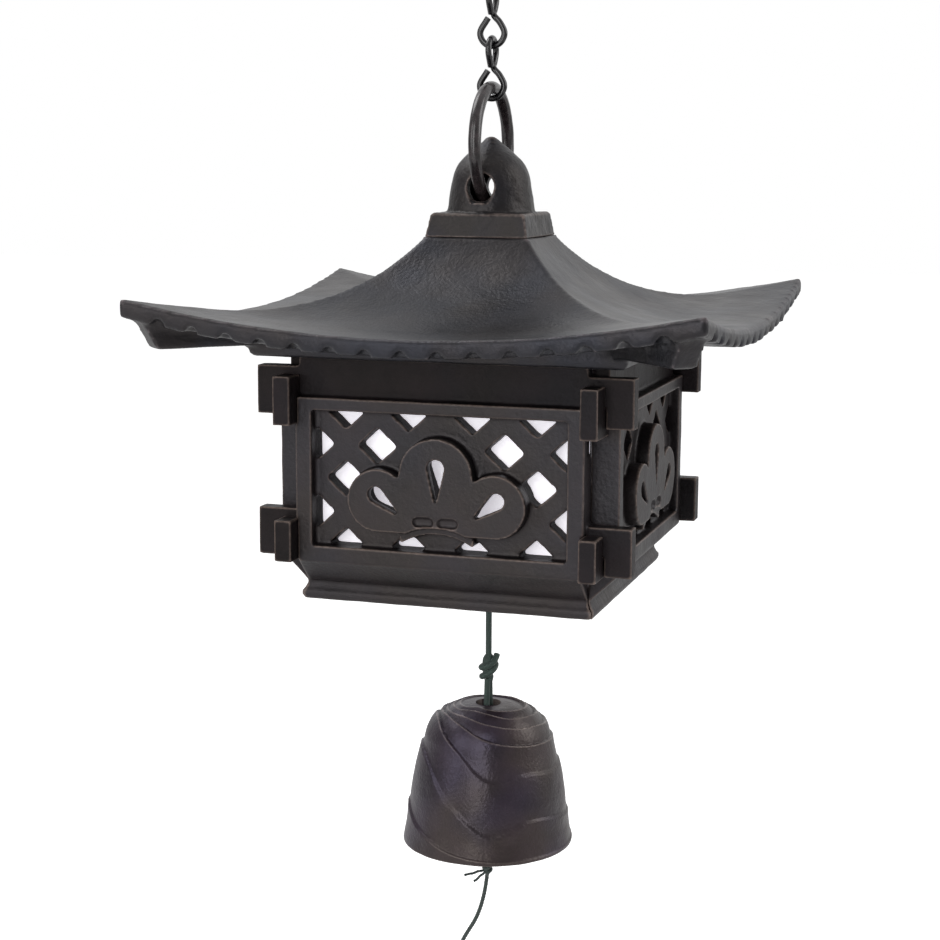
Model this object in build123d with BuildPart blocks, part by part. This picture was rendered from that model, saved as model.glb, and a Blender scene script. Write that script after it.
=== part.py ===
"""Furin wind bell: a cast-iron roofed lantern that hangs on a ring and chain, with a bell, a clapper
and a paper wind strip hanging below it. Millimetres, +Z up. The origin is in the top chain eye,
where a hook bears."""

import os
from math import asin, cos, degrees, pi, radians, sin, sqrt, tan

from build123d import *

# Clearances
wire_gap = 0.3  # between hanging wires that touch on the real object
thread_clearance = 0.05  # radial, between a thread and its tapped hole
bolt_clearance = 0.25  # radial, between the stud and a plain hole
joint_gap = 0.2  # between castings that slot into each other
cord_gap = 0.1  # between a cord and what it goes round
overrun = 2.0  # how far a cut runs past the face it leaves

# Chain and ring
link_wire = 1.5
link_waist = 2.4  # from a link's middle to where an eye's side begins
link_eye_radius = 2.95  # centreline of an eye's round end
link_eye_straight = 1.6  # straight side above the round end
link_length = 2 * (link_waist + link_eye_straight + link_eye_radius)  # centreline, end to end
link_mouth_gap = 0.5  # between a link's cut end and its waist
link_cut_length = 0.7  # the bent-in cut end, along the link
link_bend_share = 0.97  # of the eye radius, for the bends at an eye's end
ring_wire = 3.0
ring_radius = 13.3  # centreline
ring_sag = 3.4  # its lowest centreline under the finial's hole

# Finial
finial_hole = 6.6
finial_hole_edge = 0.5
finial_hole_rise = 5.9  # the hole's axis over the collar
finial_dome_height = 17.7  # over the collar
finial_base_radius = 10.5
finial_shoulder_radius = 9.3
finial_shoulder_rise = 7.5  # over the collar
finial_tip_radius = 2.0
finial_wall = 2.4  # the dome is hollow, so that the ring can dip inside
finial_floor = 0.5  # over the collar
collar_bottom_half = 12.4
collar_top_half = 11.35
collar_height = 5.6
collar_edge = 0.5

# Roof
roof_span = 130.0
roof_shell = 4.0
roof_rise = 19.2  # from the middle of an eave to the collar
roof_flat_from = 50.0  # distance from the axis where the slope turns level
corner_lift = 6.9
eave_notch_pitch = 8.0
eave_notch_radius = 1.6
eave_notch_depth = 3.0
eave_notch_margin = 9.0
flange_bottom = 13.9  # under the corner tips
flange_ledge = 3.5  # outside the panels' faces
flange_chamfer = 0.9
flange_lip = 3.1  # inside the panels
rafter_width = 6.0
rafter_rise = 2.6  # over the flange's foot
rafter_root = 5.0  # how far a rafter runs into the flange
rafter_tip_inset = 3.2
rafter_tip_length = 2.4
rafter_tip_drop = 5.0

# Panels
panel_face = 40.4  # axis to the raised frame's face
panel_plate = 4.1
panel_relief = 2.6
panel_neck = 9.2  # from the flange to the raised frame
frame_height = 37.8
frame_border = 3.4  # at a side panel's ends
frame_top_rail = 2.9
frame_foot_rail = 3.6
corner_lap = 0.3  # how far the front and back panels reach over the side panels' ends
lattice_boss = 0.6  # how much thicker the lattice is than the plate, behind
lattice_opening_half = 4.65
lattice_opening_rise = 4.2
lattice_corner = 0.5
lattice_cells = 4  # diamonds from the middle to a side, and from foot to top
tab_overhang = 6.5  # past the plate of the next panel
tab_height = 11.2
upper_tab_drop = 2.4  # under the flange
lower_tab_rise = 11.5  # over the frame's foot
tab_stagger = 1.8  # the side panels' tabs sit this much lower
apron_height = 6.2
moulding_inset = 5.3  # behind the frame's face
moulding_lead = 1.5
moulding_height = 2.6
moulding_roll = 0.6  # how far its rounded face bulges
apron_waist_inset = 1.2  # behind the moulding's face
apron_wall = 4.2  # at the foot
apron_lip_height = 5.8  # upright inside, over the foot
mitre_gap = 0.12
blossom_lift = 1.0  # the blossom's face over the frame's face

# Blossom on a panel, measured from the middle of the lattice's lower edge
lobe_radius = 8.7
lobe_height = 17.6
side_lobe_radius = 7.2
side_lobe_out = 13.8
side_lobe_height = 11.6
arch_half = 8.7
arch_foot = 3.6
arch_crown = 6.0
arch_band = 1.5
drop_round = 1.95
drop_round_height = 19.6
drop_tip_height = 11.0
side_drop_round = 1.8
side_drop_out = 14.2
side_drop_height = 12.9
side_drop_tip_out = 8.4
side_drop_tip_height = 8.2
drop_wall = 2.4  # the blossom is hollowed from behind to this round its holes
drop_hollow = 1.5  # how much wider than a hole that hollow is
slot_length = 4.9
slot_width = 2.1
slot_height = 7.2
slot_depth = 0.8
slot_split = 1.0

# Paper liners
liner_thickness = 0.4
liner_inset = 0.9  # inside the frame, above and below
liner_side_inset = 1.8

# Inner hardware
stud_diameter = 5.5
stud_chamfer = 0.5
stud_top_rise = 0.3  # over the finial's collar
stud_grip = 2.8  # in the eye nut
bar_drop = 6.5  # the tie bar's underside under the flange's foot
bar_thickness = 2.5
bar_breadth = 9.0
bar_pocket = 2.2  # how far the bar's ends stand in the side panels
washer_diameter = 14.0
washer_thickness = 1.2
nut_across_flats = 10.0
nut_height = 5.4
eye_radius = 4.0
eye_wire = 2.2

# Bell cord
cord_diameter = 1.45
top_knot_diameter = 6.4
top_knot_height = 4.2
top_loop_leg = 7.2
knot_diameter = 4.6
knot_drop = 18.8  # under the lantern
knot_height = 7.6
knot_edge_share = 0.3  # a knot's rounding, of its height or breadth
tail_length = 2.6
tail_angle = 52.0
pin_diameter = 1.6
pin_length = 12.6

# Bell
bell_drop = 5.0  # under the cord's knot
bell_height = 35.0
bell_mouth_radius = 21.1
bell_wall = 2.5
bell_hole = 5.9
bell_crown_radius = 7.4
bell_crown_drop = 0.7
bell_radius_shares = (0.555, 0.697, 0.777, 0.896, 0.957, 1.0)
bell_drop_shares = (0.08, 0.168, 0.3, 0.569, 0.84, 1.0)

# Clapper and thread
thread_diameter = 1.0
hitch_diameter = 2.4
hitch_height = 1.8
clapper_radius = 7.0
clapper_height = 8.0
clapper_edge = 2.4
clapper_drop = 4.4  # its underside under the bell's mouth
tie_knot_diameter = 2.8
tie_knot_height = 2.4
tie_knot_drop = 2.9  # under the clapper
whisker_diameter = 0.6
whisker_length = 6.2
whisker_short_length = 4.8
whisker_angle = 14.0
whisker_short_angle = 43.0

# Paper strip
strip_width = 60.0
strip_length = 124.0
strip_thickness = 0.4
strip_hole = 4.0
strip_hole_inset = 5.0
strip_corner = 1.5
strip_knot_diameter = 3.6
strip_knot_height = 2.2
strip_loop_radius = 1.2
strip_neck = 0.8  # between the strip's knot and its top edge

# Heights worked down from the top eye
top_link_top = link_wire / 2
top_link_bottom = top_link_top - link_length
low_link_top = top_link_bottom + link_wire + wire_gap
low_link_bottom = low_link_top - link_length
ring_top = low_link_bottom + link_wire / 2 + ring_wire / 2 + wire_gap
ring_centre = ring_top - ring_radius
ring_bottom = ring_centre - ring_radius
hole_axis = ring_bottom + ring_sag
crown_rise = roof_rise - corner_lift  # the roof's crown over its corner tips
tips = hole_axis - finial_hole_rise - collar_height - crown_rise  # the roof's corner tips

# Panel sizes across, from the axis
panel_inner = panel_face - panel_relief - panel_plate
plate_face = panel_face - panel_relief
panel_half_width = panel_inner - joint_gap
front_half_width = panel_inner + corner_lap
lattice_half_width = panel_half_width - frame_border
tab_reach = plate_face + tab_overhang
moulding_face = panel_face - moulding_inset
apron_waist_face = moulding_face - apron_waist_inset
apron_inner_face = moulding_face - apron_wall
flange_half = panel_face + flange_ledge
flange_opening_half = panel_inner - flange_lip
liner_half_width = panel_half_width - liner_side_inset
lattice_rear = panel_inner - lattice_boss
boss_half_width = panel_half_width - liner_side_inset / 2
slot_floor = panel_face + blossom_lift - slot_depth

# Heights under the corner tips
rafter_bottom = flange_bottom - rafter_rise
frame_top = flange_bottom + panel_neck
frame_bottom = frame_top + frame_height
lattice_height = frame_height - frame_top_rail - frame_foot_rail
upper_tab_top = flange_bottom + upper_tab_drop
lower_tab_top = frame_bottom - lower_tab_rise
apron_waist_drop = frame_bottom + apron_height
moulding_top = apron_waist_drop + moulding_lead
moulding_bottom = moulding_top + moulding_height
apron_inner_drop = moulding_bottom - apron_lip_height
liner_top = frame_top + liner_inset
liner_bottom = frame_bottom - liner_inset
bar_bottom_depth = flange_bottom + bar_drop
stud_bottom_depth = bar_bottom_depth + washer_thickness + stud_grip
knot_top = moulding_bottom + knot_drop
knot_bottom = knot_top + knot_height
bell_top = knot_bottom + bell_drop
bell_mouth = bell_top + bell_height
clapper_bottom = bell_mouth + clapper_drop
tie_knot_top = clapper_bottom + tie_knot_drop
thread_start = tie_knot_top + tie_knot_height + wire_gap

bend_share = 0.45  # of the shorter run, for each arc of the thread

# Wind thread's route, out from the axis and down from its start: it keeps the bend it was packed with
thread_route = [
    (0.0, 0.0),
    (-0.35, 3.0),
    (-0.95, 6.2),
    (-1.8, 9.4),
    (-3.1, 12.7),
    (-5.0, 15.9),
    (-6.7, 19.0),
    (-7.2, 22.3),
    (-6.1, 25.5),
    (-3.9, 28.0),
    (-1.7, 30.4),
    (-0.5, 33.3),
    (0.0, 36.4),
]

os.makedirs("parts", exist_ok=True)


def tube(path_wire, diameter):
    """A round wire or cord along a wire, from its start."""
    start = Plane(origin=path_wire @ 0, z_dir=path_wire % 0)
    with BuildPart() as made:
        with BuildSketch(start):
            Circle(diameter / 2)
        sweep(path=path_wire)
    return made.part


def keep(solid, name):
    """Labels a finished piece and writes its file."""
    solid.label = name
    export_step(solid, f"parts/{name}.step")


# Chain links: wire bent into two eyes at right angles, each left open at the waist
def chain_link(top):
    middle = top - link_length / 2
    eye_end = link_length / 2
    cut_out = link_wire + link_mouth_gap
    round_radius = link_eye_radius * link_bend_share
    lower = [
        (-cut_out, 0, link_cut_length - link_waist),
        (-link_eye_radius, 0, -link_waist),
        (-link_eye_radius, 0, -eye_end),
        (link_eye_radius, 0, -eye_end),
        (link_eye_radius, 0, -link_waist),
    ]
    upper = [(0, x, -z) for x, _, z in reversed(lower)]
    points = [(x, y, z + middle) for x, y, z in [*lower, (0, 0, 0), *upper]]
    bend_radius = link_wire
    radii = [bend_radius, round_radius, round_radius, bend_radius, bend_radius]
    radii += [bend_radius, round_radius, round_radius, bend_radius]
    with BuildLine() as path:
        FilletPolyline(*points, radius=radii)
    return tube(path.wire(), link_wire)


chain_link_top = chain_link(top_link_top)
chain_link_low = chain_link(low_link_top)
keep(chain_link_top, "chain_link_top")
keep(chain_link_low, "chain_link_low")

# Hanging ring: thick wire ring through the finial's hole
with BuildPart() as hanging_ring:
    with BuildSketch(Plane.XZ):
        with Locations((0, ring_top)):
            Circle(ring_wire / 2)
    revolve(axis=Axis((0, 0, ring_centre), (1, 0, 0)))
keep(hanging_ring.part, "hanging_ring")

# Roof: thin casting, each slope a concave curve swept along an eave that lifts to the corners
roof_half = roof_span / 2
eave_level = tips - corner_lift
roof_crown = tips + crown_rise
roof_depth_below = roof_rise + corner_lift + flange_bottom  # past all that hangs under the eaves
slope_run = roof_flat_from - collar_bottom_half
slope_radius = (slope_run**2 + roof_rise**2) / (2 * roof_rise)
lift_radius = (roof_half**2 + corner_lift**2) / (2 * corner_lift)
lift_angle = degrees(asin((roof_half + overrun) / (lift_radius - roof_rise)))


def slope_solid(drop, turn):
    """All that lies under one pair of slopes, lowered by drop: across Y, or across X when turned."""
    level = eave_level - drop
    crown = roof_crown - drop
    reach = roof_half + overrun
    middle_run = roof_flat_from - slope_run / 2
    middle_level = level + slope_radius - sqrt(slope_radius**2 - (slope_run / 2) ** 2)
    floor = eave_level - roof_depth_below
    with BuildPart() as made:
        with BuildSketch(Plane.YZ):
            with BuildLine() as slope:
                slope_top = (collar_bottom_half, crown)
                slope_foot = (roof_flat_from, level)
                Line((0, crown), slope_top)
                ThreePointArc(slope_top, (middle_run, middle_level), slope_foot)
                Polyline(slope_foot, (reach, level), (reach, floor), (0, floor))
                mirror(slope.line, about=Plane.YZ)
            make_face()
        revolve(axis=Axis((0, 0, level + lift_radius), (0, 1, 0)), revolution_arc=lift_angle)
        mirror(about=Plane.YZ)
    return made.part.rotate(Axis.Z, turn)


def under_roof(drop):
    """The space under the roof's surface, lowered by drop, within the square of the eaves."""
    with BuildPart() as made:
        add(slope_solid(drop, 0))
        add(slope_solid(drop, 90), mode=Mode.INTERSECT)
        with BuildSketch(Plane.XY.offset(eave_level - roof_depth_below / 2)):
            Rectangle(roof_span, roof_span)
        extrude(amount=roof_depth_below * 2, mode=Mode.INTERSECT)
    return made.part


def hip_rafter():
    """A beam under the diagonal towards +X +Y, left tall, to be trimmed by the roof's underside."""
    with BuildPart() as made:
        with BuildSketch(Plane(origin=(0, 0, 0), x_dir=(1, 1, 0), z_dir=(1, -1, 0))):
            root = (flange_half - rafter_root) * sqrt(2)
            tip = (roof_half - rafter_tip_inset) * sqrt(2)
            heel = tip - rafter_tip_length * sqrt(2)
            with BuildLine():
                Polyline(
                    (root, tips - rafter_bottom),
                    (heel, tips - rafter_bottom),
                    (tip, tips - rafter_tip_drop),
                    (tip, tips + overrun),
                    (root, tips + overrun),
                    close=True,
                )
            make_face()
        extrude(amount=rafter_width / 2, both=True)
    return made.part


def eave_rise(along):
    """How far an eave has lifted at a distance along it from its middle."""
    return lift_radius - sqrt(lift_radius**2 - along**2)


def eave_notches():
    """Round-headed notches along the underside of the front eave."""
    count = int((roof_span - 2 * eave_notch_margin) / eave_notch_pitch) + 1
    places = [(i - (count - 1) / 2) * eave_notch_pitch for i in range(count)]
    bottom = eave_level - roof_shell
    with BuildPart() as made:
        with BuildSketch(Plane.XZ.offset(roof_half + overrun)):
            with Locations(*[(x, bottom + eave_rise(x)) for x in places]):
                Circle(eave_notch_radius)
        extrude(amount=-(eave_notch_depth + overrun))
    return made.part


quarter_turns = (0, 90, 180, 270)
rafter = hip_rafter()
notches = eave_notches()
with BuildPart() as roof:
    with BuildSketch(Plane.XY.offset(tips - flange_bottom)):
        Rectangle(2 * flange_half, 2 * flange_half)
    extrude(amount=flange_bottom + overrun)
    chamfer(roof.faces().sort_by(Axis.Z)[0].edges(), length=flange_chamfer)
    with BuildSketch(Plane.XY.offset(tips - flange_bottom)):
        Rectangle(2 * flange_opening_half, 2 * flange_opening_half)
    extrude(amount=flange_bottom + overrun, mode=Mode.SUBTRACT)
    for turn in quarter_turns:
        add(rafter.rotate(Axis.Z, turn))
    add(under_roof(roof_shell / 2), mode=Mode.INTERSECT)
    shell = under_roof(0) - under_roof(roof_shell)
    add(shell)
    for turn in quarter_turns:
        add(notches.rotate(Axis.Z, turn), mode=Mode.SUBTRACT)
    with Locations((0, 0, roof_crown)):
        Box(
            2 * collar_bottom_half,
            2 * collar_bottom_half,
            roof_shell,
            align=(Align.CENTER, Align.CENTER, Align.MIN),
            mode=Mode.SUBTRACT,
        )
        Cylinder(stud_diameter / 2 + bolt_clearance, 4 * roof_shell, mode=Mode.SUBTRACT)
keep(roof.part, "roof")

# Finial: square collar and round dome in one casting, with a flared cross hole for the ring
collar_top = roof_crown + collar_height
with BuildPart() as finial:
    with BuildSketch(Plane.XY.offset(roof_crown)):
        Rectangle(2 * collar_bottom_half, 2 * collar_bottom_half)
    with BuildSketch(Plane.XY.offset(collar_top)):
        Rectangle(2 * collar_top_half, 2 * collar_top_half)
    loft()
    chamfer(finial.faces().sort_by(Axis.Z)[-1].edges(), length=collar_edge)
    shoulder = collar_top + finial_shoulder_rise
    peak = collar_top + finial_dome_height
    with BuildSketch(Plane.XZ):
        with BuildLine():
            Line((0, collar_top), (finial_base_radius, collar_top))
            Line((finial_base_radius, collar_top), (finial_shoulder_radius, shoulder))
            Spline(
                (finial_shoulder_radius, shoulder),
                (finial_tip_radius, peak - finial_tip_radius / 2),
                (0, peak),
                tangents=[(finial_shoulder_radius - finial_base_radius, shoulder - collar_top), (-1, 0)],
            )
            Line((0, peak), (0, collar_top))
        make_face()
    revolve(axis=Axis.Z)
    with BuildSketch(Plane.XZ):
        floor = collar_top + finial_floor
        with BuildLine():
            Line((0, floor), (finial_base_radius - finial_wall, floor))
            Line((finial_base_radius - finial_wall, floor), (finial_shoulder_radius - finial_wall, shoulder))
            Spline(
                (finial_shoulder_radius - finial_wall, shoulder),
                (0, peak - finial_wall),
                tangents=[(finial_shoulder_radius - finial_base_radius, shoulder - collar_top), (-1, 0)],
            )
            Line((0, peak - finial_wall), (0, floor))
        make_face()
    revolve(axis=Axis.Z, mode=Mode.SUBTRACT)
    with Locations(Plane((0, 0, hole_axis), z_dir=(0, 1, 0))):
        Cylinder(finial_hole / 2, 4 * finial_base_radius, mode=Mode.SUBTRACT)
    for side in (-1, 1):
        mouth = Plane((0, side * finial_shoulder_radius, hole_axis), z_dir=(0, side, 0))
        with Locations(mouth):
            Cone(
                finial_hole / 2 - finial_hole_edge,
                finial_hole / 2 + 2 * finial_hole_edge,
                3 * finial_hole_edge,
                mode=Mode.SUBTRACT,
            )
    with Locations((0, 0, roof_crown)):
        Cylinder(
            stud_diameter / 2 + thread_clearance,
            collar_height + 2 * finial_floor,
            align=(Align.CENTER, Align.CENTER, Align.MIN),
            mode=Mode.SUBTRACT,
        )
keep(finial.part, "finial")

# Panels: four lattice castings that lock at the corners by half-lapped tabs
lattice_foot = tips - frame_bottom + frame_foot_rail
lattice_step = lattice_half_width / lattice_cells
lattice_rise = lattice_height / lattice_cells
panel_back = Plane(origin=(0, -panel_inner, 0), x_dir=(1, 0, 0), z_dir=(0, -1, 0))
panel_middle = Plane(origin=(0, -plate_face, 0), x_dir=(1, 0, 0), z_dir=(0, -1, 0))
slot_plane = Plane(origin=(0, -slot_floor, lattice_foot), x_dir=(1, 0, 0), z_dir=(0, -1, 0))
lattice_back = Plane(origin=(0, -lattice_rear, lattice_foot), x_dir=(1, 0, 0), z_dir=(0, -1, 0))
boss_back = Plane(origin=(0, -lattice_rear, 0), x_dir=(1, 0, 0), z_dir=(0, -1, 0))
lattice_depth = panel_plate + lattice_boss


def teardrop(round_at, round_radius, tip):
    """A drop-shaped hole: a round end drawn out to a tip."""
    axis = Vector(*tip) - Vector(*round_at)
    length = axis.length
    side = Vector(-axis.Y, axis.X) / length
    along = axis / length
    touch = round_radius**2 / length
    spread = round_radius * sqrt(1 - (round_radius / length) ** 2)
    left = Vector(*round_at) + along * touch + side * spread
    right = Vector(*round_at) + along * touch - side * spread
    back = Vector(*round_at) - along * round_radius
    with BuildSketch() as made:
        with BuildLine():
            ThreePointArc((left.X, left.Y), (back.X, back.Y), (right.X, right.Y))
            Polyline((right.X, right.Y), tip, (left.X, left.Y))
        make_face()
    return made.sketch


def arch_radius():
    """Radius of the arch under the blossom."""
    rise = arch_crown - arch_foot
    return (arch_half**2 + rise**2) / (2 * rise)


def blossom_outline():
    """Three round lobes over an arched foot."""
    with BuildSketch() as made:
        with Locations((0, lobe_height)):
            Circle(lobe_radius)
        with Locations((-side_lobe_out, side_lobe_height), (side_lobe_out, side_lobe_height)):
            Circle(side_lobe_radius)
        with BuildLine():
            Polyline(
                (-side_lobe_out, side_lobe_height - side_lobe_radius),
                (side_lobe_out, side_lobe_height - side_lobe_radius),
                (side_lobe_out, side_lobe_height),
                (0, lobe_height),
                (-side_lobe_out, side_lobe_height),
                close=True,
            )
        make_face()
        with Locations((0, arch_crown - arch_radius())):
            Circle(arch_radius(), mode=Mode.SUBTRACT)
    return made.sketch


def arch_outline():
    """The narrow arched band under the blossom."""
    with BuildSketch() as made:
        with Locations((0, arch_crown - arch_radius())):
            Circle(arch_radius())
            Circle(arch_radius() - arch_band, mode=Mode.SUBTRACT)
        with Locations((0, arch_crown)):
            Rectangle(2 * arch_half, 2 * (arch_crown - arch_foot + arch_band), mode=Mode.INTERSECT)
    return made.sketch


def blossom_drops(wider):
    """The three drop-shaped holes in the blossom, or the hollows behind them when wider."""
    with BuildSketch() as made:
        add(teardrop((0, drop_round_height), drop_round + wider, (0, drop_tip_height - wider)))
        for side in (-1, 1):
            add(
                teardrop(
                    (side * side_drop_out, side_drop_height),
                    side_drop_round + wider,
                    (side * (side_drop_tip_out - wider), side_drop_tip_height - wider),
                )
            )
    return made.sketch


def arch_slots():
    """The two short slots between the blossom and the arched band."""
    with BuildSketch() as made:
        for side in (-1, 1):
            with Locations((side * (slot_split + slot_length) / 2, slot_height)):
                SlotOverall(slot_length, slot_width)
    return made.sketch


def lattice_openings():
    """The diamonds between the slanting bars, cut off by the frame."""
    behind_blossom = ((0, 1), (2, 1), (1, 2), (0, 3))
    places = []
    for i in range(-lattice_cells, lattice_cells + 1):
        for j in range(lattice_cells + 1):
            if (i + j) % 2 == 1 and (abs(i), j) not in behind_blossom:
                places.append((i * lattice_step, j * lattice_rise))
    corners = [
        (lattice_opening_half, 0),
        (0, lattice_opening_rise),
        (-lattice_opening_half, 0),
        (0, -lattice_opening_rise),
    ]
    with BuildSketch() as made:
        with Locations(*places):
            Polygon(*corners)
        fillet(made.vertices(), radius=lattice_corner)
        with Locations((0, lattice_height / 2)):
            Rectangle(2 * lattice_half_width, lattice_height, mode=Mode.INTERSECT)
    return made.sketch


def panel(half_width, tab_drop, notch_open_up):
    """One lattice panel, as the front one. tab_drop lowers its tabs; notch_open_up says how they lap."""
    tops = [upper_tab_top + tab_drop, lower_tab_top + tab_drop]
    neck = tips - flange_bottom
    with BuildPart() as made:
        with BuildSketch(panel_back):
            with Locations((0, (neck + tips - frame_bottom) / 2)):
                Rectangle(2 * half_width, neck - tips + frame_bottom)
            for top in tops:
                with Locations((0, tips - top - tab_height / 2)):
                    Rectangle(2 * tab_reach, tab_height)
        extrude(amount=panel_plate)
        with BuildSketch(boss_back):
            with Locations((0, tips - (liner_top + liner_bottom) / 2)):
                Rectangle(2 * boss_half_width, liner_bottom - liner_top)
        extrude(amount=lattice_boss)
        with BuildSketch(panel_middle):
            with Locations((0, tips - (frame_top + frame_bottom) / 2)):
                Rectangle(2 * half_width, frame_bottom - frame_top)
            with Locations((0, lattice_foot + lattice_height / 2)):
                Rectangle(2 * lattice_half_width, lattice_height, mode=Mode.SUBTRACT)
        extrude(amount=panel_relief)
        with BuildSketch(lattice_back):
            add(lattice_openings())
        extrude(amount=lattice_depth, mode=Mode.SUBTRACT)
        with BuildSketch(lattice_back):
            add(arch_outline())
        extrude(amount=lattice_depth + panel_relief)
        with BuildSketch(lattice_back):
            add(blossom_outline())
        extrude(amount=lattice_depth + panel_relief + blossom_lift)
        with BuildSketch(slot_plane):
            add(arch_slots())
        extrude(amount=2 * slot_depth, mode=Mode.SUBTRACT)
        with BuildSketch(lattice_back):
            add(blossom_drops(0))
        extrude(amount=lattice_depth + 2 * panel_relief, mode=Mode.SUBTRACT)
        with BuildSketch(lattice_back):
            add(blossom_drops(drop_hollow))
        extrude(amount=lattice_depth + panel_relief + blossom_lift - drop_wall, mode=Mode.SUBTRACT)
        with BuildSketch(Plane.YZ.offset(-moulding_face)):
            roll_edge = moulding_face - moulding_roll
            with BuildLine():
                ThreePointArc(
                    (-roll_edge, tips - moulding_top),
                    (-moulding_face, tips - (moulding_top + moulding_bottom) / 2),
                    (-roll_edge, tips - moulding_bottom),
                )
                Polyline(
                    (-roll_edge, tips - moulding_bottom),
                    (-apron_inner_face, tips - moulding_bottom),
                    (-apron_inner_face, tips - apron_inner_drop),
                    (-panel_inner, tips - frame_bottom - panel_relief),
                    (-panel_inner, tips - frame_bottom),
                    (-panel_face, tips - frame_bottom),
                    (-apron_waist_face, tips - apron_waist_drop),
                    (-roll_edge, tips - moulding_top),
                )
            make_face()
        extrude(amount=2 * moulding_face)
        for side in (-1, 1):
            with BuildSketch(Plane.XY.offset(tips - apron_waist_drop)):
                with Locations((side * (panel_half_width + tab_reach), -panel_face)):
                    Rectangle(2 * tab_reach, 2 * panel_face)
            extrude(amount=apron_waist_drop - frame_bottom, mode=Mode.SUBTRACT)
            with BuildSketch(Plane.XY.offset(tips - moulding_bottom)):
                with BuildLine():
                    Polyline(
                        (side * -mitre_gap, 0),
                        (side * (2 * moulding_face - mitre_gap), -2 * moulding_face),
                        (side * 2 * moulding_face, 0),
                        close=True,
                    )
                make_face()
            extrude(amount=moulding_bottom - frame_bottom, mode=Mode.SUBTRACT)
            lap_width = panel_plate + 2 * joint_gap
            lap_middle = panel_inner + panel_plate / 2
            lap_side = 1 if notch_open_up else -1
            for top in tops:
                tab_middle = tips - top + tab_drop - tab_stagger - tab_height / 2
                with BuildSketch(panel_middle):
                    with Locations((side * (panel_half_width + tab_reach), tab_middle)):
                        Rectangle(2 * tab_reach, tab_height + 2 * joint_gap)
                extrude(amount=panel_relief, mode=Mode.SUBTRACT)
                lap_level = tips - top + tab_drop - (tab_height + tab_stagger) / 2
                with BuildSketch(panel_back):
                    with Locations((side * lap_middle, lap_level + lap_side * tab_height / 2)):
                        Rectangle(lap_width, tab_height)
                extrude(amount=panel_plate, mode=Mode.SUBTRACT)
    return made.part


front = panel(front_half_width, 0, False)
flank = panel(panel_half_width, tab_stagger, True)
bar_level = tips - bar_bottom_depth
with BuildPart() as pocketed:
    add(flank)
    with Locations((0, -panel_inner, bar_level + bar_thickness / 2)):
        Box(
            bar_breadth + 2 * joint_gap,
            2 * (bar_pocket + joint_gap),
            bar_thickness + 2 * thread_clearance,
            mode=Mode.SUBTRACT,
        )
panel_turns = {"front": 0, "right": 90, "back": 180, "left": 270}
for place, turn in panel_turns.items():
    source = front if place in ("front", "back") else pocketed.part
    keep(source.rotate(Axis.Z, turn), f"panel_{place}")

# Paper liners: white sheets glued behind the lattices
with BuildPart() as liner:
    with BuildSketch(boss_back):
        with Locations((0, tips - (liner_top + liner_bottom) / 2)):
            Rectangle(2 * liner_half_width, liner_bottom - liner_top)
    extrude(amount=-liner_thickness)
for place, turn in panel_turns.items():
    keep(liner.part.rotate(Axis.Z, turn), f"liner_{place}")

# Stud: screwed into the finial and down through roof, tie bar and washer
with BuildPart() as clamp_stud:
    with Locations((0, 0, tips - stud_bottom_depth)):
        Cylinder(
            stud_diameter / 2,
            collar_top + stud_top_rise - tips + stud_bottom_depth,
            align=(Align.CENTER, Align.CENTER, Align.MIN),
        )
    chamfer(clamp_stud.edges(), length=stud_chamfer)
keep(clamp_stud.part, "clamp_stud")

# Tie bar: flat bar whose ends stand in pockets of the side panels and carry them
with BuildPart() as tie_bar:
    with Locations((0, 0, bar_level)):
        Box(
            2 * (panel_inner + bar_pocket),
            bar_breadth,
            bar_thickness,
            align=(Align.CENTER, Align.CENTER, Align.MIN),
        )
        Cylinder(stud_diameter / 2 + bolt_clearance, 4 * bar_thickness, mode=Mode.SUBTRACT)
keep(tie_bar.part, "tie_bar")

# Washer under the tie bar
with BuildPart() as clamp_washer:
    with Locations((0, 0, bar_level - washer_thickness)):
        Cylinder(washer_diameter / 2, washer_thickness, align=(Align.CENTER, Align.CENTER, Align.MIN))
        Cylinder(stud_diameter / 2 + bolt_clearance, 4 * washer_thickness, mode=Mode.SUBTRACT)
keep(clamp_washer.part, "clamp_washer")

# Eye nut: clamps the washer and holds the bell's cord
nut_top = bar_level - washer_thickness
nut_bottom = nut_top - nut_height
eye_centre = nut_bottom - eye_radius
with BuildPart() as eye_nut:
    with BuildSketch(Plane.XY.offset(nut_bottom)):
        RegularPolygon(nut_across_flats / 2, 6, major_radius=False)
    extrude(amount=nut_height)
    with BuildSketch(Plane.YZ):
        with Locations((0, eye_centre + eye_radius)):
            Circle(eye_wire / 2)
    revolve(axis=Axis((0, 0, eye_centre), (0, 1, 0)))
    with Locations((0, 0, tips - stud_bottom_depth - joint_gap)):
        Cylinder(
            stud_diameter / 2 + thread_clearance,
            nut_height,
            align=(Align.CENTER, Align.CENTER, Align.MIN),
            mode=Mode.SUBTRACT,
        )
keep(eye_nut.part, "eye_nut")


def cord_loop(half_gap, open_end, turn_at, diameter):
    """A doubled cord in the YZ plane: two legs from open_end and a half turn round turn_at."""
    bend = turn_at + half_gap if turn_at > open_end else turn_at - half_gap
    with BuildLine() as path:
        Line((0, -half_gap, open_end), (0, -half_gap, turn_at))
        ThreePointArc((0, -half_gap, turn_at), (0, 0, bend), (0, half_gap, turn_at))
        Line((0, half_gap, turn_at), (0, half_gap, open_end))
    return tube(path.wire(), diameter)


def knot(top, height, diameter, edge):
    """A knot's outer shape: a rounded barrel with flat ends where its cords go in."""
    with BuildPart() as made:
        with Locations((0, 0, top)):
            Cylinder(diameter / 2, height, align=(Align.CENTER, Align.CENTER, Align.MAX))
        fillet(made.edges().filter_by(GeomType.CIRCLE), radius=edge)
    return made.part


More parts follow.
